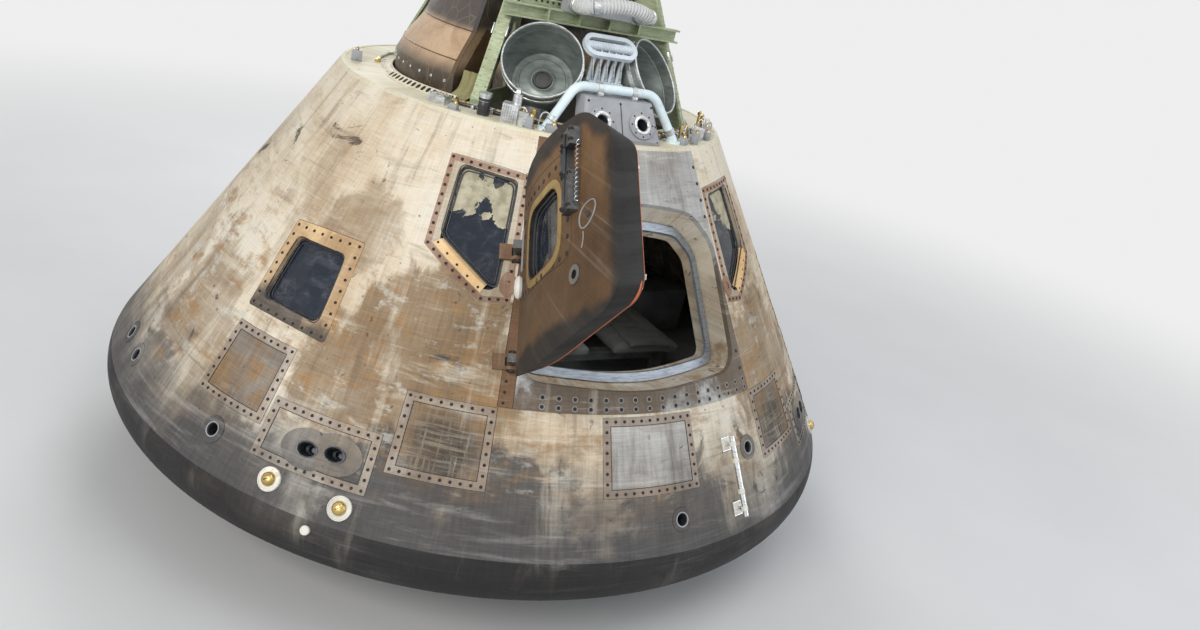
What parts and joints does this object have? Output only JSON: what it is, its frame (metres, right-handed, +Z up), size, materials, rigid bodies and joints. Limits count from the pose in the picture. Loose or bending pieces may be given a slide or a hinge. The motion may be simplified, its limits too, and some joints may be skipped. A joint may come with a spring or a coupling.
{
  "type": "space capsule",
  "caption": "Blunt conical crew capsule on a rounded heat shield, side hatch swung open, nose cover off so tunnel, gussets, mortar cups and handrail show.",
  "frame": {"origin": "lowest point of the heat shield, on the capsule's axis, on the floor it stands on", "axes": "+Z up the capsule's axis towards the nose, -Y through the middle of the side hatch's doorway, +X to the right of someone facing that doorway"},
  "size_m": [3.9118, 4.2408, 2.92],
  "materials": {
    "bare_metal": "satin",
    "black_fitting": "satin",
    "block_grey": "satin",
    "cabin_grey": "satin",
    "char": "charred matte",
    "chromate": "satin",
    "chrome": "polished",
    "collar_grey": "matte",
    "couch_cloth": "woven",
    "disc_white": "gloss",
    "frame_tan": "scorched satin",
    "gasket": "matte",
    "hose_cloth": "woven",
    "khaki_cloth": "woven",
    "lagging": "satin foil",
    "pane": "clear",
    "ring_cream": "satin",
    "rust_skin": "scorched matte",
    "skin": "weathered matte"
  },
  "bodies": {
    "capsule": {"aft_heat_shield": "char", "arch_handrail": "bare_metal", "bay_covers": "lagging", "cabin_floor": "cabin_grey", "cloth_flap": "khaki_cloth", "couch_frame": "bare_metal", "couches": "couch_cloth", "crew_shell": "skin", "cross_beam": "chromate", "cup_posts": "bare_metal", "deck_ring": "ring_cream", "deck_units": "bare_metal", "display_console": "cabin_grey", "docking_flange": "bare_metal", "fore_window_frames": "frame_tan", "fore_window_panes": "pane", "forward_bulkhead": "bare_metal", "front_panels": "skin", "gussets": "chromate", "handhold": "chrome", "hatch_foot_panel": "skin", "hatch_seal_frame": "bare_metal", "hatch_surround": "frame_tan", "hinge_brackets": "black_fitting", "hinge_strip": "rust_skin", "hose_manifold": "block_grey", "mortar_cups": "bare_metal", "port_collars": "collar_grey", "recovery_loop": "bare_metal", "side_panels": "rust_skin", "side_window_frames": "frame_tan", "side_window_panes": "pane", "thruster_block": "block_grey", "thruster_panels": "skin", "tie_discs": "disc_white", "tunnel": "lagging", "twin_port_collars": "collar_grey", "vent_hose": "hose_cloth"},
    "side_hatch": {"hatch_arms": "black_fitting", "hatch_gasket": "gasket", "hatch_latches": "chrome", "hatch_liner": "cabin_grey", "hatch_linkage": "black_fitting", "hatch_pane": "pane", "hatch_port": "black_fitting", "hatch_shell": "rust_skin", "hatch_window_frame": "frame_tan"}
  },
  "joints": [
    {"name": "hatch_swing", "type": "hinge", "parent": "capsule", "child": "side_hatch", "pos_m": [-0.608, -1.45357, 1.255], "axis": [0.1316, 0.5266, 0.8398], "range_deg": [-5, 100.5]}
  ]
}
